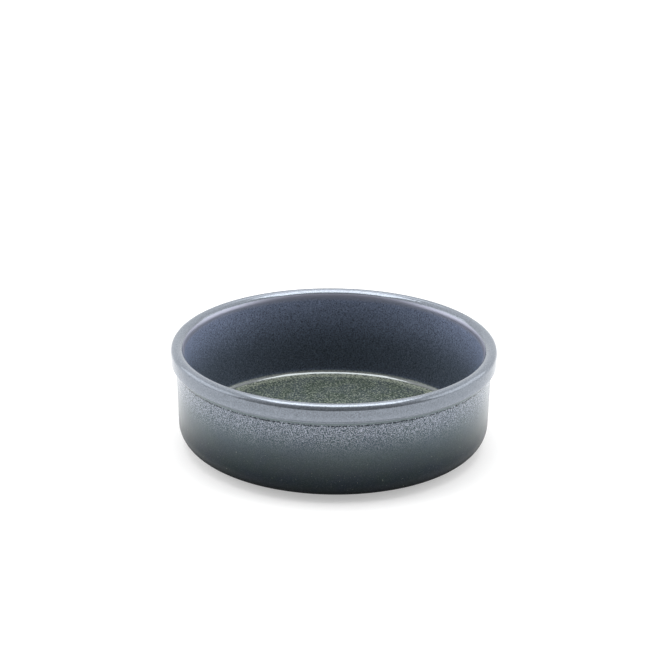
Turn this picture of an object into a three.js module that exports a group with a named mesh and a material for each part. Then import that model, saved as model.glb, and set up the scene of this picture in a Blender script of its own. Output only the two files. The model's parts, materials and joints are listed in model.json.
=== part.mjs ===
// A round tapas dish: one fired clay body, a glaze coat fused over it, and a patch of glaze under the floor.
// Millimetres, +Z up. The origin is the centre of the plane that the foot ring stands on.
import * as THREE from "three";

// Driving dimensions of the finished dish, measured over its glaze
const RIM_DIAMETER = 130;
const HEIGHT = 42;
const RIM_BAND_HEIGHT = 7; // from the crest of the rim to the lower edge of the band
const RIM_OVERHANG = 2; // how far the band stands out from the wall under it
const CREST_ROUND = 2.2; // outer rounding of the crest
const BAND_EDGE_ROUND = 0.9; // lower edge of the band
const WALL_THICKNESS = 3.6; // square to the wall
const WALL_DRAFT = 2.2; // lean of the wall, in degrees
const CORNER_RADIUS = 9; // outside, from the wall to the underside
const BOWL_CORNER_RADIUS = 3; // inside, from the floor to the wall
const FLOOR_THICKNESS = 4.2;
const FOOT_INSET = 3.5; // flat underside between the outer corner and the foot ring
const FOOT_WIDTH = 3.5;
const FOOT_HEIGHT = 1; // outside of the foot ring
const FOOT_EDGE_ROUND = 0.5;
const RECESS_DEPTH = 1.2; // underside of the floor, inside the foot ring, above the table
const GLAZE_THICKNESS = 0.35;
const BARE_MARGIN = 1; // clay wiped clean of glaze on each side of the foot ring

// Facets around the dish, and steps along each rounding
const FACETS = 60;
const ROUND_STEPS = 4;
const CORNER_STEPS = 6;

// Levels and radii that follow from the driving dimensions
const lean = THREE.MathUtils.degToRad(WALL_DRAFT);
const rimRadius = RIM_DIAMETER / 2;
const bandLevel = HEIGHT - RIM_BAND_HEIGHT;
const floorLevel = RECESS_DEPTH + FLOOR_THICKNESS;

// How far from the leaning wall the centre of a rounding sits that touches the wall and a level.
const reach = (radius) => radius / Math.cos(lean);
// The radius of a rounding that touches the wall and fills this width on a level.
const remainder = (width) => width / (1 / Math.cos(lean) - Math.tan(lean));

const outerWall = (z) => rimRadius - RIM_OVERHANG - (bandLevel - z) * Math.tan(lean);
const innerWall = (z) => outerWall(z) - WALL_THICKNESS / Math.cos(lean);

// Each rounding of the glazed skin, as its centre in the half section and its radius
const bowlCorner = {
  r: innerWall(floorLevel + BOWL_CORNER_RADIUS) - reach(BOWL_CORNER_RADIUS),
  z: floorLevel + BOWL_CORNER_RADIUS,
  radius: BOWL_CORNER_RADIUS,
};
const crest = { r: rimRadius - CREST_ROUND, z: HEIGHT - CREST_ROUND, radius: CREST_ROUND };
const lipRadius = remainder(crest.r - innerWall(HEIGHT));
const lip = { r: crest.r, z: HEIGHT - lipRadius, radius: lipRadius };
const bandEdge = {
  r: rimRadius - BAND_EDGE_ROUND,
  z: bandLevel + BAND_EDGE_ROUND,
  radius: BAND_EDGE_ROUND,
};
const coveRadius = remainder(RIM_OVERHANG - BAND_EDGE_ROUND);
const cove = { r: bandEdge.r, z: bandLevel - coveRadius, radius: coveRadius };
const corner = {
  r: outerWall(FOOT_HEIGHT + CORNER_RADIUS) - reach(CORNER_RADIUS),
  z: FOOT_HEIGHT + CORNER_RADIUS,
  radius: CORNER_RADIUS,
};

const footOuter = corner.r - FOOT_INSET;
const footInner = footOuter - FOOT_WIDTH;
const footEdge = { z: FOOT_EDGE_ROUND, radius: FOOT_EDGE_ROUND };
const outerGlazeLine = footOuter + BARE_MARGIN;
const innerGlazeLine = footInner - BARE_MARGIN;
const clayUnderside = FOOT_HEIGHT + GLAZE_THICKNESS;
const clayRecess = RECESS_DEPTH + GLAZE_THICKNESS;

const point = (r, z) => new THREE.Vector2(r, z);

// Points along a rounding, from one angle to another in degrees, with its radius grown by some amount.
function along({ r, z, radius }, fromDegrees, toDegrees, { grown = 0, steps = ROUND_STEPS } = {}) {
  return Array.from({ length: steps + 1 }, (_, i) => {
    const angle = THREE.MathUtils.degToRad(THREE.MathUtils.lerp(fromDegrees, toDegrees, i / steps));
    return point(r + (radius + grown) * Math.cos(angle), z + (radius + grown) * Math.sin(angle));
  });
}

// The half section of the skin, from the middle of the bowl over the rim to the glaze line beside the foot.
// Depth 0 is the glaze's own face. A depth of the glaze's thickness is the clay that it is fused to.
function skin(depth) {
  const hollow = { grown: depth };
  const proud = { grown: -depth };
  return [
    point(0, floorLevel - depth),
    ...along(bowlCorner, -90, -WALL_DRAFT, hollow),
    ...along(lip, 180 - WALL_DRAFT, 90, proud),
    ...along(crest, 90, 0, proud).slice(1),
    ...along(bandEdge, 0, -90, proud),
    ...along(cove, 90, 180 - WALL_DRAFT, hollow).slice(1),
    ...along(corner, -WALL_DRAFT, -90, { grown: -depth, steps: CORNER_STEPS }),
    point(outerGlazeLine, FOOT_HEIGHT + depth),
  ];
}

// A closed solid of revolution about Z. The outline runs from the axis to the axis.
function turned(name, outline, material) {
  const geometry = new THREE.LatheGeometry(outline, FACETS);
  geometry.rotateX(Math.PI / 2);
  const mesh = new THREE.Mesh(geometry, material);
  mesh.name = name;
  return mesh;
}

// Fired clay: floor, wall, rim and foot in one piece, bare only at the foot ring and the margin beside it.
function clayBody() {
  const foot = [
    point(footOuter, clayUnderside),
    ...along({ r: footOuter - FOOT_EDGE_ROUND, ...footEdge }, 0, -90),
    ...along({ r: footInner + FOOT_EDGE_ROUND, ...footEdge }, -90, -180),
    point(footInner, clayRecess),
  ];
  const outline = [...skin(GLAZE_THICKNESS), ...foot, point(0, clayRecess)];
  const clay = new THREE.MeshStandardMaterial({ color: "#cfc6b8", roughness: 0.85, metalness: 0 });
  return turned("clay_body", outline.reverse(), clay);
}

// Slate-blue reactive glaze, fused to the clay over the bowl, the rim and the outside.
function glazeCoat() {
  const outline = [...skin(GLAZE_THICKNESS), ...skin(0).reverse()];
  const glaze = new THREE.MeshStandardMaterial({ color: "#66707d", roughness: 0.35, metalness: 0 });
  return turned("glaze_coat", outline, glaze);
}

// The same glaze without its blue top coat, on the recess inside the foot ring.
function undersideGlaze() {
  const outline = [
    point(0, RECESS_DEPTH),
    point(innerGlazeLine, RECESS_DEPTH),
    point(innerGlazeLine, clayRecess),
    point(0, clayRecess),
  ];
  const glaze = new THREE.MeshStandardMaterial({ color: "#3f4745", roughness: 0.4, metalness: 0 });
  return turned("underside_glaze", outline, glaze);
}

const tapasDish = new THREE.Group();
tapasDish.add(clayBody(), glazeCoat(), undersideGlaze());

export default tapasDish;
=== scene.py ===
"""A small round tapas dish, fired clay under a slate-blue reactive glaze, on a plain studio floor."""

import json
import math
from typing import NamedTuple

import bpy
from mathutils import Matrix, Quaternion, Vector


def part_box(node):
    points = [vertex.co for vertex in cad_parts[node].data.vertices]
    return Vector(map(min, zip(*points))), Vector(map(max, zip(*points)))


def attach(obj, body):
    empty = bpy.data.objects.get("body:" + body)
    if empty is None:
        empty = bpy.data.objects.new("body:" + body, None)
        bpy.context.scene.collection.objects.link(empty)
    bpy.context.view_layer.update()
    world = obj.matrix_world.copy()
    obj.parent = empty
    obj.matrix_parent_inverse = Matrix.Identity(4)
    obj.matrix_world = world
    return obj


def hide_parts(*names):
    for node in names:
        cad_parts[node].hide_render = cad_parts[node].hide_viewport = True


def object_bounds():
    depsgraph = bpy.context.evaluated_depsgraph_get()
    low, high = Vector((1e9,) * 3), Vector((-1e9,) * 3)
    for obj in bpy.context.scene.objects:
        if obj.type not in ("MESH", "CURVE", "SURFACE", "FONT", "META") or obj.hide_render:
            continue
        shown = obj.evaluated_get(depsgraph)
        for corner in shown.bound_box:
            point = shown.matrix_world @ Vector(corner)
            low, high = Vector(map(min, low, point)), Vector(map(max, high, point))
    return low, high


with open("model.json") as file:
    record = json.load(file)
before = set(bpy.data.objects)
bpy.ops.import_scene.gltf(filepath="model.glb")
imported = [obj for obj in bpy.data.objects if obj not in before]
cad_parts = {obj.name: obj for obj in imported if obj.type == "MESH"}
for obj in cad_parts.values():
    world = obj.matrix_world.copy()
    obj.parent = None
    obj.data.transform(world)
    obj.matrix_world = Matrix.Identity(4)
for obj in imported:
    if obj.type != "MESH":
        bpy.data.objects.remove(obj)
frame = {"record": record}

bl_info = {
    "name": "Tapas Dish",
    "version": (1, 0, 0),
    "blender": (4, 5, 0),
    "location": "View3D > Sidebar > Tapas Dish",
    "description": "Models a glazed tapas dish around its CAD frame and sets it on a studio floor",
    "category": "Add Mesh",
}

# What the frame gives
CAD_LOW, CAD_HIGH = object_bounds()
CLAY_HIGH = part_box("clay_body")[1]
COAT_LOW, COAT_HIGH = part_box("glaze_coat")
PATCH_LOW, PATCH_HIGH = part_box("underside_glaze")
BOWL_FLOOR = next(m["pos_m"][2] for m in frame["record"]["mounts"] if m["name"] == "bowl_floor")

# Modelling tolerances: lengths in metres, and shares of a length
POINT_SIZE = 0.001
MERGE_DISTANCE = 0.00002
LONGEST_EDGE = 0.004
SNUG = 0.999
ROUND_OFF = 1.001
SMOOTH_ANGLE = math.radians(40)

# Steps in an arc, for a glaze's end, a small edge, the bowl's corner, the rim and the outer corner
ROLL_STEPS = 3
EDGE_STEPS = 6
BOWL_STEPS = 8
RIM_STEPS = 10
CORNER_STEPS = 12

# Millimetres in a metre
MILLIMETRES = 1000.0


class Fade(NamedTuple):
    """A smooth step of a value: where it starts and ends, and what it gives at either end."""

    start: float
    end: float
    before: float = 0.0
    after: float = 1.0

    def moved(self, distance):
        return self._replace(start=self.start + distance, end=self.end + distance)


# Grains and waves of the glaze: cells in millimetres, and cells to the millimetre
FINE_GRAIN = 0.37
SMALL_GRAIN = 0.55
COARSE_GRAIN = 0.75
UNDERSIDE_GRAIN = 0.6
DRIFT_SCALE = 0.06
CLOUD_SCALE = 0.12
WAVER_SCALE = 0.5
BREAK_SCALE = 1.0
BROAD_PEEL_SCALE = 0.16
CLOSE_PEEL_SCALE = 0.9
UNDERSIDE_CLOUD_SCALE = 0.05
CLAY_GRAIN_SCALE = 2.2

# The outside wall, over its height in millimetres
DRIFT_HEIGHT = 3.0
CRYSTAL_AMOUNT = Fade(15, 37, 0.0, 0.46)
CRYSTAL_CONTRAST = Fade(19, 33, 0.3, 5.5)
GROUND_RISE = Fade(8, 27)
# Painted shade: the wall's ground darkens towards the foot
FOOT_PAINTED_SHADE = Fade(2, 10, 0.15, 1.0)
FOOT_ROUGHNESS = Fade(2, 9, 0.9, 0.3)
WALL_SATIN = Fade(6, 20, 0.0, 0.68)
SPECK_ZONE = Fade(22, 13)

# The cove and the band, in millimetres over the band's lower edge
# The cove strip starts here; its colour is lightened with painted bounce light
COVE_START = Fade(-1.9, -1.5)
BAND_START = Fade(-1.3, -0.7)
# Painted reflection: the band's colour is lightened over this span above its lower edge
BAND_EDGE_PAINTED_REFLECTION = Fade(3.0, 1.0)
LINE_HEIGHT = -2.6

# The cove's dark line, in millimetres from its middle
LINE_WIDTH = Fade(0.42, 0.16)

# The bowl, in millimetres over its floor
INNER_RISE_START = 11
BOWL_EDGE = Fade(1.8, 0.9)
# Painted highlight: the grey line round the bowl's corner lies between these heights
HIGHLIGHT_LINE_START = Fade(0.2, 0.5)
HIGHLIGHT_LINE_END = Fade(1.5, 0.9)
UNDER_FLOOR = -0.2

# The lip, in millimetres over the crest
INNER_RISE_END = 2
LIP_FADE = Fade(-4.6, -2.2)
CREST_FADE = Fade(-1.6, -1.1)

# Round the dish, in millimetres beyond the rim's radius
# Painted reflection: flecks grow thicker towards the floor's edge, making a paler ring there
FLOOR_EDGE_PAINTED_GLOW = Fade(-12.3, -9.7, 0.04, 0.75)
INNER_EDGE = -4.4

# Noises and grains turned into masks
SPECK_AMOUNT = Fade(0.2, 0.27, 0.0, 0.7)
LINE_BREAKS = Fade(0.42, 0.5)
WALL_CLOUDS = Fade(0.3, 0.7)
BOWL_CLOUDS = Fade(0.4, 0.6)
UNDERSIDE_CLOUDS = Fade(0.35, 0.65)
CLAY_TONE = Fade(0.35, 0.7)
CLAY_ROUGHNESS = Fade(0.3, 0.7, 0.9, 0.75)

# How far a grain lightens and darkens a colour, how sharp and how many its flecks are, and other tones
INNER_CONTRAST = 3.0
BOWL_CONTRAST = 1.5
RIM_CONTRAST = 1.3
FLECK_CONTRAST = 4.8
UNDERSIDE_CONTRAST = 4.0
UNDERSIDE_FLECKS = 0.4
# How much the painted reflection lightens the band's lower edge
PAINTED_REFLECTION_LIFT = 0.14
CLAY_DUSK = 0.72

# Gloss of the glaze
POLISH_ROUGHNESS = 0.1
BOWL_ROUGHNESS = 0.5
UNDERSIDE_ROUGHNESS = (0.28, 0.4)
BOWL_SATIN = 0.36
SATIN_ROUGHNESS = 0.25
SPECULAR = 0.14
LIP_POLISH = 0.33
LIP_MIRROR = 0.76
CLOSE_PEEL_SHARE = 0.15

# The surroundings, over the parts of a direction
ROOM_DEPTH = Fade(-0.75, 0.1)
PANEL_HEIGHT = Fade(0.6, 0.8)
PANEL_SIDES = Fade(0.35, 0.2)
PANEL_DEPTH = Fade(0.1, 0.3)


class Softbox(NamedTuple):
    """An area lamp: its place, and its width and height, in metres."""

    place: tuple
    width: float
    height: float


TOP_LAMP = Softbox((0.0, 0.03, 1.0), 1.0, 0.6)
LEFT_LAMP = Softbox((-0.84, 0.12, 0.4), 1.0, 0.5)
RIGHT_LAMP = Softbox((0.84, 0.12, 0.4), 1.0, 0.5)


class Corner(NamedTuple):
    """A corner of an outline in the half section: its radius, its height and its rounding, in metres."""

    r: float
    z: float
    rounding: float = 0.0
    steps: int = EDGE_STEPS

    @property
    def place(self):
        return Vector((self.r, 0.0, self.z))


def length(name, description, default):
    return bpy.props.FloatProperty(
        name=name, description=description, default=default, min=0.0, precision=5, unit="LENGTH"
    )


def colour(name, description, default):
    return bpy.props.FloatVectorProperty(
        name=name, description=description, default=default, size=3, min=0.0, max=1.0, subtype="COLOR"
    )


def angle(name, description, degrees):
    return bpy.props.FloatProperty(
        name=name, description=description, default=math.radians(degrees), subtype="ANGLE", unit="ROTATION"
    )


def factor(name, description, default, most=1.0):
    return bpy.props.FloatProperty(
        name=name, description=description, default=default, min=0.0, max=most, subtype="FACTOR"
    )


class DishSizes(bpy.types.PropertyGroup):
    """Sizes of the finished dish, over its glaze."""

    rim_diameter: length("Rim diameter", "Across the outside of the rim band", CAD_HIGH.x - CAD_LOW.x)
    height: length("Height", "From the foot ring to the crest of the rim", CAD_HIGH.z - CAD_LOW.z)
    band_height: length("Band height", "From the crest to the lower edge of the rim band", 0.007)
    overhang: length("Overhang", "How far the band stands out from the wall", 0.002)
    crest_round: length("Crest rounding", "Outer rounding of the crest", 0.0022)
    band_edge_round: length("Band edge rounding", "Rounding of the band's lower edge", 0.0009)
    wall: length("Wall", "Thickness of the wall, square to it", 0.0036)
    draft: angle("Draft", "Lean of the wall from upright", 2.2)
    corner_round: length("Corner rounding", "From the outside wall to the underside", 0.009)
    bowl_corner_round: length("Bowl corner rounding", "From the bowl's floor to its wall", 0.003)
    bowl_floor: length("Bowl floor", "Height of the bowl's floor", BOWL_FLOOR)
    glaze: length("Glaze", "Thickness of the glaze", COAT_HIGH.z - CLAY_HIGH.z)
    underside: length("Underside", "Height of the glazed underside outside the foot ring", COAT_LOW.z)
    recess: length("Recess", "Height of the glazed underside inside the foot ring", PATCH_LOW.z)
    patch_radius: length("Patch radius", "Radius of the glaze inside the foot ring", PATCH_HIGH.x)
    bare_margin: length("Bare margin", "Clay wiped clean on each side of the foot ring", 0.001)
    foot_width: length("Foot width", "Width of the foot ring", 0.0035)
    foot_round: length("Foot rounding", "Rounding of the foot ring's edges", 0.0005)
    glaze_roll: length("Glaze roll", "Rounding where the glaze ends", 0.00015)
    turns: bpy.props.IntProperty(name="Turns", description="Steps round the dish", default=192, min=12)


class GlazeColours(bpy.types.PropertyGroup):
    """Colours of the clay and of each zone of the glaze."""

    rim: colour("Rim", "Smooth blue-grey lustre of the rim and its band", (0.228, 0.253, 0.291))
    lip: colour("Lip", "Lilac at the inner edge of the rim", (0.362, 0.376, 0.460))
    # Partly the glaze's own green-grey, partly painted bounce light from the floor that makes the strip
    # lighter
    cove: colour("Cove", "Green-grey strip under the band", (0.135, 0.178, 0.188))
    crystal: colour("Crystal", "Pale crystals on the upper wall", (0.408, 0.440, 0.524))
    teal: colour("Teal", "Grey-teal ground between the crystals", (0.017, 0.047, 0.065))
    slate: colour("Slate", "Dark slate of the lower wall", (0.001, 0.009, 0.018))
    fern: colour("Fern", "Green clouds in the teal", (0.018, 0.051, 0.057))
    pine: colour("Pine", "Green clouds in the slate", (0.002, 0.012, 0.014))
    inner_high: colour("Inner wall, high", "Slate-violet under the lip", (0.190, 0.227, 0.328))
    inner_low: colour("Inner wall, low", "Near-black foot of the inner wall", (0.064, 0.081, 0.110))
    moss: colour("Moss", "Moss green of the bowl's floor", (0.045, 0.065, 0.055))
    sage: colour("Sage", "Blue-green clouds in the moss", (0.057, 0.076, 0.081))
    fleck: colour("Fleck", "Straw flecks in the green", (0.300, 0.335, 0.272))
    # Painted highlight: a pale grey line that stands for the lamp's highlight in the bowl's corner
    fillet: colour("Fillet", "Grey line round the bowl's floor", (0.242, 0.260, 0.264))
    clay: colour("Clay", "Bare fired clay of the foot", (0.62, 0.55, 0.46))
    lustre: factor("Lustre", "Metallic sheen of the rim and of the crystals", 0.58)


class StudioSettings(bpy.types.PropertyGroup):
    """Camera, floor and lamps."""

    camera_distance: length("Camera distance", "From the target to the camera", 1.04)
    camera_elevation: angle("Camera elevation", "Height of the view above the horizon", 22.6)
    target_height: length("Target height", "Point on the axis that the camera is placed from", 0.0195)
    aim_height: length("Aim height", "Point on the axis at the middle of the picture", 0.04648)
    aim_side: bpy.props.FloatProperty(
        name="Aim side", description="Sideways offset of that point", default=-0.00066, unit="LENGTH"
    )
    camera_roll: angle("Camera roll", "Turn of the camera about its view", 0.62)
    lens: bpy.props.FloatProperty(name="Lens", description="Focal length", default=140.3, unit="CAMERA")
    floor_size: length("Floor size", "Side of the floor", 6.0)
    floor_front: length("Floor front", "Distance from the dish to the floor's front edge", 0.3)
    floor_colour: colour("Floor", "Pale floor", (0.64, 0.64, 0.64))
    floor_glow: factor("Floor glow", "White added to the floor where it is seen", 0.4)
    backdrop: factor("Backdrop", "Brightness of the backdrop", 1.1, 4.0)
    room: factor("Room", "Brightness of the room behind the camera", 0.12)
    panel: factor("Panel", "Brightness added high on the backdrop in reflections", 1.55, 4.0)
    top_brightness: factor("Top lamp", "Brightness of the lamp over the dish", 3.8, 20.0)
    side_brightness: factor("Side lamps", "Brightness of the lamps beside the dish", 3.65, 20.0)
    side_gloss: factor("Side gloss", "Share of the side lamps that shows in reflections", 0.3)


def scene_values(context):
    scene = context.scene
    return scene.dish_sizes, scene.dish_colours, scene.dish_studio


# Modelling by hand: an outline is drawn from one point, rounded, and spun about the dish's axis


def object_mode():
    if bpy.context.object and bpy.context.object.mode != "OBJECT":
        bpy.ops.object.mode_set(mode="OBJECT")
    bpy.ops.object.select_all(action="DESELECT")


def draw_outline(name, corners):
    """Starts a piece as a wire through the corners, extruded from a single point."""
    object_mode()
    bpy.ops.mesh.primitive_plane_add(size=POINT_SIZE, location=(0, 0, 0))
    piece = bpy.context.active_object
    piece.name = piece.data.name = name
    bpy.ops.object.mode_set(mode="EDIT")
    bpy.ops.mesh.select_all(action="SELECT")
    bpy.ops.mesh.merge(type="CENTER")
    bpy.ops.transform.translate(value=corners[0].place)
    for before, corner in zip(corners, corners[1:]):
        bpy.ops.mesh.extrude_region_move(TRANSFORM_OT_translate={"value": corner.place - before.place})
    return piece


def select_only(piece, elements, index):
    """Selects one vertex or edge of the piece in edit mode."""
    bpy.ops.mesh.select_all(action="DESELECT")
    bpy.ops.object.mode_set(mode="OBJECT")
    getattr(piece.data, elements)[index].select = True
    bpy.ops.object.mode_set(mode="EDIT")


def round_corners(piece, corners):
    """Rounds each corner of a drawn outline to its own radius."""
    for before, corner, after in zip(corners, corners[1:], corners[2:]):
        if not corner.rounding:
            continue
        turn = (corner.place - before.place).angle(after.place - corner.place)
        bpy.ops.object.mode_set(mode="OBJECT")
        nearest = min(piece.data.vertices, key=lambda vertex: (vertex.co - corner.place).length)
        bpy.ops.object.mode_set(mode="EDIT")
        select_only(piece, "vertices", nearest.index)
        bpy.ops.mesh.bevel(
            affect="VERTICES",
            offset=SNUG * corner.rounding * math.tan(turn / 2),
            segments=corner.steps,
            clamp_overlap=False,
        )
    bpy.ops.mesh.select_all(action="SELECT")
    bpy.ops.mesh.remove_doubles(threshold=MERGE_DISTANCE)


def span(mesh, edge):
    first, last = (mesh.vertices[index].co for index in edge.vertices)
    return (first - last).length


def divide_long_edges(piece):
    """Cuts the outline's long straights, so that the spun surface has even faces."""
    bpy.ops.mesh.select_mode(type="EDGE")
    while True:
        bpy.ops.object.mode_set(mode="OBJECT")
        spans = [span(piece.data, edge) for edge in piece.data.edges]
        longest = max(spans)
        bpy.ops.object.mode_set(mode="EDIT")
        if longest <= LONGEST_EDGE * ROUND_OFF:
            break
        select_only(piece, "edges", spans.index(longest))
        bpy.ops.mesh.subdivide(number_cuts=math.ceil(longest / LONGEST_EDGE) - 1)
    bpy.ops.mesh.select_mode(type="VERT")


def spin(piece, steps):
    """Spins the outline into a closed solid about the dish's axis."""
    bpy.ops.mesh.select_all(action="SELECT")
    bpy.ops.mesh.spin(steps=steps, angle=math.tau, center=(0, 0, 0), axis=(0, 0, 1))
    bpy.ops.mesh.select_all(action="SELECT")
    bpy.ops.mesh.remove_doubles(threshold=MERGE_DISTANCE)
    bpy.ops.mesh.normals_make_consistent(inside=False)
    bpy.ops.object.mode_set(mode="OBJECT")
    bpy.ops.object.shade_smooth_by_angle(angle=SMOOTH_ANGLE)


def turned_piece(name, corners, steps):
    piece = draw_outline(name, corners)
    round_corners(piece, corners)
    divide_long_edges(piece)
    spin(piece, steps)
    return piece


def skin_corners(sizes, depth):
    """The glazed skin at a depth under the glaze's face, from the middle of the bowl to the glaze line."""
    lean = math.tan(sizes.draft)
    slant = 1 / math.cos(sizes.draft)
    rim = sizes.rim_diameter / 2
    band = sizes.height - sizes.band_height
    top = sizes.height - depth
    floor = sizes.bowl_floor - depth
    base = sizes.underside + depth

    def outer_wall(z):
        return rim - sizes.overhang - (band - z) * lean - depth * slant

    def inner_wall(z):
        return rim - sizes.overhang - (band - z) * lean - (sizes.wall - depth) * slant

    lip_round = (rim - sizes.crest_round - inner_wall(sizes.height) + depth * slant) / (slant - lean)
    cove_round = (sizes.overhang - sizes.band_edge_round) / (slant - lean)
    glaze_line = sizes.patch_radius + 2 * sizes.bare_margin + sizes.foot_width
    return [
        Corner(0, floor),
        Corner(inner_wall(floor), floor, sizes.bowl_corner_round + depth, BOWL_STEPS),
        Corner(inner_wall(top), top, lip_round - depth, RIM_STEPS),
        Corner(rim - depth, top, sizes.crest_round - depth, RIM_STEPS),
        Corner(rim - depth, band + depth, sizes.band_edge_round - depth),
        Corner(outer_wall(band + depth), band + depth, cove_round + depth),
        Corner(outer_wall(base), base, sizes.corner_round - depth, CORNER_STEPS),
        Corner(glaze_line, base),
    ]


def clay_corners(sizes):
    """The whole clay body: under the glaze, then round the bare foot ring to the middle of the recess."""
    inner = sizes.patch_radius + sizes.bare_margin
    outer = inner + sizes.foot_width
    recess = sizes.recess + sizes.glaze
    foot = [
        Corner(outer, sizes.underside + sizes.glaze),
        Corner(outer, 0, sizes.foot_round),
        Corner(inner, 0, sizes.foot_round),
        Corner(inner, recess),
        Corner(0, recess),
    ]
    return skin_corners(sizes, sizes.glaze) + foot


def coat_corners(sizes):
    """The glaze coat: its face, the rolled end beside the foot, and its back against the clay."""
    face = skin_corners(sizes, 0)
    back = skin_corners(sizes, sizes.glaze)
    face[-1] = face[-1]._replace(rounding=sizes.glaze_roll, steps=ROLL_STEPS)
    return face + back[::-1]


def patch_corners(sizes):
    """The glaze in the recess, with its edge rolled."""
    return [
        Corner(0, sizes.recess),
        Corner(sizes.patch_radius, sizes.recess, sizes.glaze_roll, ROLL_STEPS),
        Corner(sizes.patch_radius, sizes.recess + sizes.glaze),
        Corner(0, sizes.recess + sizes.glaze),
    ]


# Materials


class Wiring:
    """Adds nodes to a tree. An input is given as a value or as the socket that feeds it."""

    # Places of the colour sockets among those of a Mix node
    SHARE, FIRST_COLOUR, SECOND_COLOUR = "0", "6", "7"
    MIXED_COLOUR = 2

    def __init__(self, tree):
        self.tree = tree

    def add(self, kind, settings=None, **inputs):
        node = self.tree.nodes.new(kind)
        for name, value in (settings or {}).items():
            setattr(node, name, value)
        for name, value in inputs.items():
            self.put(node, name.replace("_", " "), value)
        return node

    def put(self, node, name, value):
        socket = node.inputs[int(name)] if name.isdigit() else node.inputs[name]
        if isinstance(value, bpy.types.NodeSocket):
            self.tree.links.new(value, socket)
        elif socket.type == "RGBA" and len(value) == 3:
            socket.default_value = (*value, 1.0)
        else:
            socket.default_value = value

    def math(self, operation, *values, clamp=False):
        node = self.tree.nodes.new("ShaderNodeMath")
        node.operation = operation
        node.use_clamp = clamp
        for number, value in enumerate(values):
            self.put(node, str(number), value)
        return node.outputs[0]

    def times(self, first, second):
        return self.math("MULTIPLY", first, second)

    def times_plus(self, value, scale, offset, clamp=False):
        return self.math("MULTIPLY_ADD", value, scale, offset, clamp=clamp)

    def greater(self, first, second):
        return self.math("MAXIMUM", first, second)

    def ramp(self, value, start, end, before=0.0, after=1.0):
        """A smooth step of the value, as a Fade says."""
        node = self.add(
            "ShaderNodeMapRange", {"interpolation_type": "SMOOTHSTEP"},
            Value=value, From_Min=start, From_Max=end, To_Min=before, To_Max=after,
        )
        return node.outputs["Result"]

    def between(self, share, first, second):
        """A number that goes smoothly from the first to the second as the share goes from 0 to 1."""
        return self.ramp(share, 0.0, 1.0, first, second)

    def blend(self, share, first, second):
        """A mix of two colours."""
        node = self.tree.nodes.new("ShaderNodeMix")
        node.data_type = "RGBA"
        self.put(node, self.SHARE, share)
        self.put(node, self.FIRST_COLOUR, first)
        self.put(node, self.SECOND_COLOUR, second)
        return node.outputs[self.MIXED_COLOUR]

    def scaled(self, vector, amount):
        """A colour made lighter or darker, or a place in another unit."""
        node = self.add("ShaderNodeVectorMath", {"operation": "SCALE"}, **{"0": vector, "Scale": amount})
        return node.outputs[0]

    def noise(self, place, scale, detail=2.0, roughness=0.5):
        node = self.add("ShaderNodeTexNoise", Vector=place, Scale=scale, Detail=detail, Roughness=roughness)
        return node.outputs["Fac"]

    def group(self, tree, **inputs):
        return self.add("ShaderNodeGroup", {"node_tree": tree}, **inputs)

    def bump(self, height, strength, distance):
        node = self.add("ShaderNodeBump", Height=height, Strength=strength, Distance=distance)
        return node.outputs["Normal"]


def new_group(name, inputs, outputs):
    """A shader node group with named number or vector sockets."""
    tree = bpy.data.node_groups.new(name, "ShaderNodeTree")
    kinds = {"number": "NodeSocketFloat", "vector": "NodeSocketVector"}
    for socket, kind in inputs.items():
        tree.interface.new_socket(socket, in_out="INPUT", socket_type=kinds[kind])
    for socket, kind in outputs.items():
        tree.interface.new_socket(socket, in_out="OUTPUT", socket_type=kinds[kind])
    wiring = Wiring(tree)
    return tree, wiring, wiring.add("NodeGroupInput"), wiring.add("NodeGroupOutput")


def section_group():
    """Where a point lies on the dish: its place, height and radius in millimetres."""
    outputs = {"Place": "vector", "Height": "number", "Radius": "number"}
    tree, wiring, _, result = new_group("Section place", {}, outputs)
    place = wiring.scaled(wiring.add("ShaderNodeTexCoord").outputs["Object"], MILLIMETRES)
    x, y, z = wiring.add("ShaderNodeSeparateXYZ", Vector=place).outputs
    square = wiring.times_plus(y, y, wiring.times(x, x))
    wiring.put(result, "Place", place)
    wiring.put(result, "Height", z)
    wiring.put(result, "Radius", wiring.math("SQRT", square))
    return tree


def grain_group():
    """Fine grain of a fired glaze: a number about zero that varies over the given size in millimetres."""
    inputs = {"Place": "vector", "Size": "number"}
    tree, wiring, given, result = new_group("Fine grain", inputs, {"Grain": "number"})
    per_millimetre = wiring.math("DIVIDE", 1.0, given.outputs["Size"])
    grain = wiring.noise(given.outputs["Place"], per_millimetre, roughness=0.6)
    wiring.put(result, "Grain", wiring.math("SUBTRACT", grain, 0.5))
    return tree


def peel_group():
    """The slight unevenness of a fired glaze, as a height."""
    tree, wiring, given, result = new_group("Glaze peel", {"Place": "vector"}, {"Height": "number"})
    broad = wiring.noise(given.outputs["Place"], BROAD_PEEL_SCALE)
    close = wiring.noise(given.outputs["Place"], CLOSE_PEEL_SCALE)
    wiring.put(result, "Height", wiring.times_plus(close, CLOSE_PEEL_SHARE, broad))
    return tree


def new_material(name):
    material = bpy.data.materials.new(name)
    material.use_nodes = True
    wiring = Wiring(material.node_tree)
    shader = material.node_tree.nodes["Principled BSDF"]
    return material, wiring, shader


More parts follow.
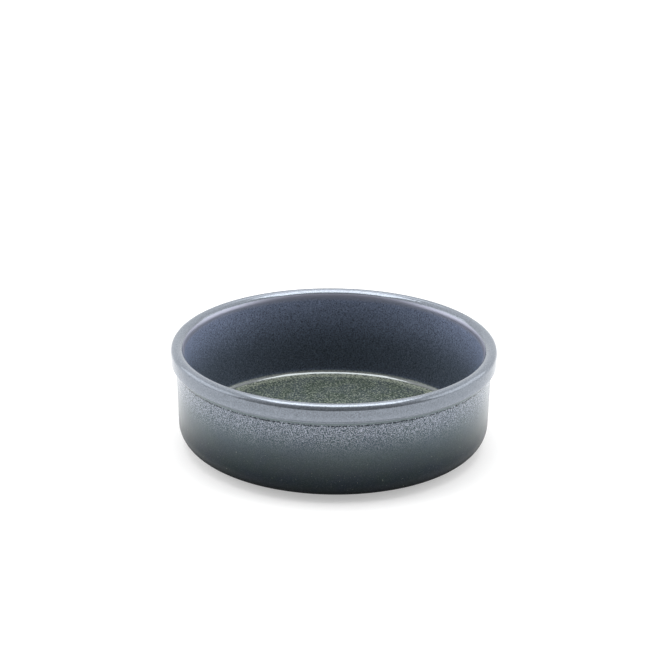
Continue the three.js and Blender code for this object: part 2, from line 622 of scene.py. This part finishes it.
class GlazeChart:
    """What the reactive glaze is laid out by: the dish's edges in millimetres, and masks as sockets."""

    def __init__(self, wiring, sizes):
        self.top = sizes.height * MILLIMETRES
        self.band = (sizes.height - sizes.band_height) * MILLIMETRES
        self.floor = sizes.bowl_floor * MILLIMETRES
        self.rim = sizes.rim_diameter / 2 * MILLIMETRES

        section = wiring.group(section_group())
        self.place, self.height, self.radius = section.outputs

        # Grains, a height that drifts, clouds, and specks low on the walls
        grain = grain_group()
        self.fine, self.small, self.coarse = (
            wiring.group(grain, Place=self.place, Size=size).outputs["Grain"]
            for size in (FINE_GRAIN, SMALL_GRAIN, COARSE_GRAIN)
        )
        drift = wiring.noise(self.place, DRIFT_SCALE, detail=3.0, roughness=0.6)
        drift = wiring.math("SUBTRACT", drift, 0.5)
        self.level = wiring.times_plus(drift, DRIFT_HEIGHT, self.height)
        self.cloud = wiring.noise(self.place, CLOUD_SCALE, detail=3.0, roughness=0.6)
        low = wiring.ramp(self.height, *SPECK_ZONE)
        self.specks = wiring.times(wiring.ramp(self.coarse, *SPECK_AMOUNT), low)

        # Zones of the dish, as masks
        within = wiring.math("LESS_THAN", self.radius, self.rim + INNER_EDGE)
        above = wiring.math("GREATER_THAN", self.height, self.floor + UNDER_FLOOR)
        self.inside = wiring.times(within, above)
        self.outside = wiring.math("SUBTRACT", 1.0, self.inside)
        on_band = wiring.times(self.outside, wiring.ramp(self.height, *BAND_START.moved(self.band)))
        on_crest = wiring.ramp(self.height, *CREST_FADE.moved(self.top))
        self.on_rim = wiring.greater(on_band, on_crest)
        self.lip = wiring.ramp(self.height, *LIP_FADE.moved(self.top))
        # Mask of the painted highlight line in the bowl's corner, which is also made metallic and glossy
        self.fillet = wiring.times(
            wiring.ramp(self.height, *HIGHLIGHT_LINE_START.moved(self.floor)),
            wiring.ramp(self.height, *HIGHLIGHT_LINE_END.moved(self.floor)),
        )
        speckle = wiring.times(wiring.ramp(self.level, *CRYSTAL_CONTRAST), self.fine)
        amount = wiring.ramp(self.level, *CRYSTAL_AMOUNT)
        self.crystals = wiring.math("ADD", amount, speckle, clamp=True)


def wall_colour(wiring, chart, colours):
    """Crystals that thin out downwards, over teal that darkens to slate and darker still towards the foot as
    painted shade; a strip lightened with painted bounce light and a line in the cove.
    """
    rise = wiring.ramp(chart.level, *GROUND_RISE)
    blue = wiring.blend(rise, colours.slate, colours.teal)
    green = wiring.blend(rise, colours.pine, colours.fern)
    ground = wiring.blend(wiring.ramp(chart.cloud, *WALL_CLOUDS), blue, green)
    # Painted shade, darkening the ground towards the foot
    ground = wiring.scaled(ground, wiring.ramp(chart.height, *FOOT_PAINTED_SHADE))
    wall = wiring.blend(chart.crystals, ground, colours.crystal)
    wall = wiring.blend(chart.specks, wall, colours.fleck)
    # The cove strip: green-grey glaze, lightened with painted bounce light
    wall = wiring.blend(wiring.ramp(chart.height, *COVE_START.moved(chart.band)), wall, colours.cove)

    line = wiring.math("ADD", wiring.noise(chart.place, WAVER_SCALE), chart.band + LINE_HEIGHT)
    off_line = wiring.math("ABSOLUTE", wiring.math("SUBTRACT", chart.height, line))
    breaks = wiring.ramp(wiring.noise(chart.place, BREAK_SCALE, roughness=0.7), *LINE_BREAKS)
    dark = wiring.times(wiring.ramp(off_line, *LINE_WIDTH), breaks)
    return wiring.blend(dark, wall, colours.slate)


def bowl_colour(wiring, chart, colours):
    """Slate-violet under the lip, near black at its foot, then moss green with straw flecks, crowded into a
    paler ring near the edge as a painted reflection, and a grey line round the corner as a painted
    highlight.
    """
    rise = wiring.ramp(chart.level, chart.floor + INNER_RISE_START, chart.top + INNER_RISE_END)
    inner = wiring.blend(rise, colours.inner_low, colours.inner_high)
    inner = wiring.scaled(inner, wiring.times_plus(chart.small, INNER_CONTRAST, 1.0))
    inner = wiring.blend(chart.specks, inner, colours.fleck)

    # Painted reflection: a paler ring of crowded flecks near the floor's edge
    painted_glow = wiring.ramp(chart.radius, *FLOOR_EDGE_PAINTED_GLOW.moved(chart.rim))
    flecks = wiring.times_plus(chart.coarse, FLECK_CONTRAST, painted_glow, clamp=True)
    floor = wiring.blend(wiring.ramp(chart.cloud, *BOWL_CLOUDS), colours.moss, colours.sage)
    floor = wiring.blend(flecks, floor, colours.fleck)
    floor = wiring.scaled(floor, wiring.times_plus(chart.coarse, BOWL_CONTRAST, 1.0))
    inner = wiring.blend(wiring.ramp(chart.height, *BOWL_EDGE.moved(chart.floor)), inner, floor)
    # Painted highlight: the grey line round the bowl's floor
    inner = wiring.blend(chart.fillet, inner, colours.fillet)
    return wiring.blend(chart.lip, inner, colours.lip)


def rim_colour(wiring, chart, colours):
    """Mottled blue-grey, with a painted reflection that makes it paler towards the band's lower edge."""
    # Painted reflection of the floor, lightening the band towards its lower edge
    edge = wiring.times(wiring.ramp(chart.height, *BAND_EDGE_PAINTED_REFLECTION.moved(chart.band)), chart.outside)
    mottle = wiring.times_plus(chart.small, RIM_CONTRAST, 1.0)
    return wiring.scaled(tuple(colours.rim), wiring.times_plus(edge, PAINTED_REFLECTION_LIFT, mottle))


def reactive_glaze(sizes, colours):
    """Smooth pale rim, crystals that thin out down a slate wall, and a moss green bowl with straw flecks."""
    material, wiring, shader = new_material("slate_glaze")
    chart = GlazeChart(wiring, sizes)
    wall = wall_colour(wiring, chart, colours)
    bowl = bowl_colour(wiring, chart, colours)
    surface = wiring.blend(chart.inside, wall, bowl)
    surface = wiring.blend(chart.on_rim, surface, rim_colour(wiring, chart, colours))

    sheen = wiring.greater(wiring.times(chart.crystals, chart.outside), chart.on_rim)
    sheen = wiring.greater(sheen, wiring.times(chart.fillet, chart.inside))
    lustre = wiring.times(sheen, colours.lustre)
    mirror = wiring.times(wiring.times(chart.lip, chart.inside), LIP_MIRROR)

    gloss = wiring.greater(chart.fillet, wiring.times(chart.lip, LIP_POLISH))
    polished = wiring.greater(chart.on_rim, wiring.times(gloss, chart.inside))
    dull = wiring.between(chart.inside, wiring.ramp(chart.height, *FOOT_ROUGHNESS), BOWL_ROUGHNESS)
    satin = wiring.between(chart.inside, wiring.ramp(chart.height, *WALL_SATIN), BOWL_SATIN)
    peel = wiring.group(peel_group(), Place=chart.place).outputs["Height"]

    wiring.put(shader, "Base Color", surface)
    wiring.put(shader, "Metallic", wiring.greater(lustre, mirror))
    wiring.put(shader, "Roughness", wiring.between(polished, dull, POLISH_ROUGHNESS))
    wiring.put(shader, "Specular IOR Level", SPECULAR)
    wiring.put(shader, "Coat Weight", wiring.between(polished, satin, 0.0))
    wiring.put(shader, "Coat Roughness", SATIN_ROUGHNESS)
    wiring.put(shader, "Normal", wiring.bump(peel, strength=0.2, distance=0.0004))
    return material


def underside_finish(colours):
    """The glaze under the floor, without its blue top coat."""
    material, wiring, shader = new_material("recess_glaze")
    place = wiring.group(section_group()).outputs["Place"]
    grain = wiring.group(grain_group(), Place=place, Size=UNDERSIDE_GRAIN).outputs["Grain"]
    cloud = wiring.ramp(wiring.noise(place, UNDERSIDE_CLOUD_SCALE, detail=3.0), *UNDERSIDE_CLOUDS)
    ground = wiring.blend(cloud, colours.slate, colours.teal)
    flecks = wiring.times_plus(grain, UNDERSIDE_CONTRAST, UNDERSIDE_FLECKS, clamp=True)
    wiring.put(shader, "Base Color", wiring.blend(flecks, ground, colours.sage))
    wiring.put(shader, "Roughness", wiring.between(cloud, *UNDERSIDE_ROUGHNESS))
    return material


def bare_clay(colours):
    """Fired clay, matte and fine grained."""
    material, wiring, shader = new_material("fired_clay")
    place = wiring.group(section_group()).outputs["Place"]
    grain = wiring.noise(place, CLAY_GRAIN_SCALE, detail=4.0, roughness=0.7)
    dusk = [CLAY_DUSK * value for value in colours.clay]
    wiring.put(shader, "Base Color", wiring.blend(wiring.ramp(grain, *CLAY_TONE), dusk, colours.clay))
    wiring.put(shader, "Roughness", wiring.ramp(grain, *CLAY_ROUGHNESS))
    wiring.put(shader, "Normal", wiring.bump(grain, strength=0.4, distance=0.0002))
    return material


def place_in_frame(piece, node, material):
    """Dresses a finished piece and lets it stand for its CAD node."""
    piece.data.materials.append(material)
    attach(piece, "root")
    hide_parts(node)


class DISH_OT_clay_body(bpy.types.Operator):
    """Turn the fired clay body, with its bare foot ring"""

    bl_idname = "dish.clay_body"
    bl_label = "Clay body"

    def execute(self, context):
        sizes, colours, _ = scene_values(context)
        piece = turned_piece("dish_clay", clay_corners(sizes), sizes.turns)
        place_in_frame(piece, "clay_body", bare_clay(colours))
        return {"FINISHED"}


class DISH_OT_glaze_coat(bpy.types.Operator):
    """Turn the glaze coat over the bowl, the rim and the wall"""

    bl_idname = "dish.glaze_coat"
    bl_label = "Glaze coat"

    def execute(self, context):
        sizes, colours, _ = scene_values(context)
        piece = turned_piece("dish_glaze", coat_corners(sizes), sizes.turns)
        place_in_frame(piece, "glaze_coat", reactive_glaze(sizes, colours))
        return {"FINISHED"}


class DISH_OT_underside_glaze(bpy.types.Operator):
    """Turn the patch of glaze inside the foot ring"""

    bl_idname = "dish.underside_glaze"
    bl_label = "Underside glaze"

    def execute(self, context):
        sizes, colours, _ = scene_values(context)
        piece = turned_piece("dish_underside", patch_corners(sizes), sizes.turns)
        place_in_frame(piece, "underside_glaze", underside_finish(colours))
        return {"FINISHED"}


# The studio


def seen(wiring):
    """1 where a ray comes from the camera or from a reflection, 0 where it lights something."""
    path = wiring.add("ShaderNodeLightPath")
    glossy = wiring.greater(path.outputs["Is Camera Ray"], path.outputs["Is Glossy Ray"])
    return wiring.greater(glossy, path.outputs["Is Transmission Ray"])


def pale_floor(studio):
    """A matte pale floor that looks white where nothing shades it."""
    material, wiring, shader = new_material("pale_floor")
    wiring.put(shader, "Base Color", tuple(studio.floor_colour))
    wiring.put(shader, "Roughness", 1.0)
    wiring.put(shader, "Specular IOR Level", 0.0)
    white = wiring.add("ShaderNodeEmission", Strength=wiring.times(seen(wiring), studio.floor_glow))
    both = wiring.add("ShaderNodeAddShader", **{"0": shader.outputs[0], "1": white.outputs[0]})
    wiring.put(material.node_tree.nodes["Material Output"], "Surface", both.outputs[0])
    return material


def surround_light(studio):
    """A white backdrop behind the dish and a dim room in front of it; white wherever the camera sees it."""
    world = bpy.data.worlds.new("studio")
    world.use_nodes = True
    wiring = Wiring(world.node_tree)
    direction = wiring.add("ShaderNodeTexCoord").outputs["Generated"]
    across, depth, height = wiring.add("ShaderNodeSeparateXYZ", Vector=direction).outputs
    around = wiring.ramp(depth, *ROOM_DEPTH._replace(before=studio.room, after=studio.backdrop))
    sides = wiring.ramp(wiring.math("ABSOLUTE", across), *PANEL_SIDES)
    panel = wiring.times(wiring.ramp(height, *PANEL_HEIGHT), sides)
    panel = wiring.times(panel, wiring.ramp(depth, *PANEL_DEPTH._replace(after=studio.panel)))
    path = wiring.add("ShaderNodeLightPath")
    glossy = wiring.times(panel, path.outputs["Is Glossy Ray"])
    strength = wiring.greater(wiring.math("ADD", around, glossy), path.outputs["Is Camera Ray"])
    background = world.node_tree.nodes["Background"]
    wiring.put(background, "Color", (1.0, 1.0, 1.0))
    wiring.put(background, "Strength", strength)
    bpy.context.scene.world = world


def stand_lamp(name, softbox, brightness, in_gloss=True):
    """A lamp of even brightness, aimed at the dish. It can be left out of reflections."""
    bpy.ops.object.light_add(type="AREA", location=softbox.place)
    lamp = bpy.context.active_object
    lamp.name = lamp.data.name = name
    lamp.rotation_euler = (-Vector(softbox.place)).to_track_quat("-Z", "Y").to_euler()
    lamp.data.shape = "RECTANGLE"
    lamp.data.size = softbox.width
    lamp.data.size_y = softbox.height
    lamp.data.energy = brightness * math.pi * softbox.width * softbox.height
    lamp.visible_camera = False
    lamp.visible_glossy = in_gloss


def stand_lamps(studio):
    """The lamp over the dish, and one on each side that shows only in part in reflections."""
    stand_lamp("top_lamp", TOP_LAMP, studio.top_brightness)
    shown = studio.side_brightness * studio.side_gloss
    for side, softbox in (("left", LEFT_LAMP), ("right", RIGHT_LAMP)):
        stand_lamp(f"{side}_lamp", softbox, shown)
        stand_lamp(f"{side}_fill", softbox, studio.side_brightness - shown, in_gloss=False)


def stand_camera(studio):
    """The camera at the photograph's viewing angle."""
    target = Vector((0, 0, studio.target_height))
    back = Vector((0, -math.cos(studio.camera_elevation), math.sin(studio.camera_elevation)))
    bpy.ops.object.camera_add(location=target + studio.camera_distance * back)
    camera = bpy.context.active_object
    camera.name = camera.data.name = "camera"
    aim = Vector((studio.aim_side, 0, studio.aim_height)) - camera.location
    roll = Quaternion((0, 0, 1), studio.camera_roll)
    camera.rotation_euler = (aim.to_track_quat("-Z", "Y") @ roll).to_euler()
    camera.data.lens = studio.lens
    bpy.context.scene.camera = camera


class DISH_OT_studio(bpy.types.Operator):
    """Set the floor, the lamps and the camera round the dish"""

    bl_idname = "dish.studio"
    bl_label = "Studio"

    def execute(self, context):
        studio = context.scene.dish_studio
        object_mode()
        bpy.ops.mesh.primitive_plane_add(size=studio.floor_size, location=(0, 0, 0))
        floor = context.active_object
        floor.name = floor.data.name = "floor"
        bpy.ops.object.mode_set(mode="EDIT")
        bpy.ops.transform.translate(value=(0, studio.floor_size / 2 - studio.floor_front, 0))
        bpy.ops.object.mode_set(mode="OBJECT")
        floor.data.materials.append(pale_floor(studio))
        surround_light(studio)
        stand_lamps(studio)
        stand_camera(studio)
        context.scene.view_settings.view_transform = "Standard"
        return {"FINISHED"}


class DISH_PT_sidebar(bpy.types.Panel):
    """Lists the pieces of the dish, with their sizes and colours"""

    bl_label = "Tapas Dish"
    bl_space_type = "VIEW_3D"
    bl_region_type = "UI"
    bl_category = "Tapas Dish"

    def draw(self, context):
        for operator in OPERATORS:
            self.layout.operator(operator.bl_idname)
        for group in scene_values(context):
            box = self.layout.box()
            for name in type(group).__annotations__:
                box.prop(group, name)


GROUPS = {"dish_sizes": DishSizes, "dish_colours": GlazeColours, "dish_studio": StudioSettings}
OPERATORS = (DISH_OT_clay_body, DISH_OT_glaze_coat, DISH_OT_underside_glaze, DISH_OT_studio)


def register():
    for name, group in GROUPS.items():
        bpy.utils.register_class(group)
        setattr(bpy.types.Scene, name, bpy.props.PointerProperty(type=group))
    for part in (*OPERATORS, DISH_PT_sidebar):
        bpy.utils.register_class(part)


def unregister():
    for part in (DISH_PT_sidebar, *OPERATORS):
        bpy.utils.unregister_class(part)
    for name, group in GROUPS.items():
        delattr(bpy.types.Scene, name)
        bpy.utils.unregister_class(group)


def main():
    register()
    bpy.ops.dish.clay_body()
    bpy.ops.dish.glaze_coat()
    bpy.ops.dish.underside_glaze()
    bpy.ops.dish.studio()


if __name__ == "__main__":
    main()
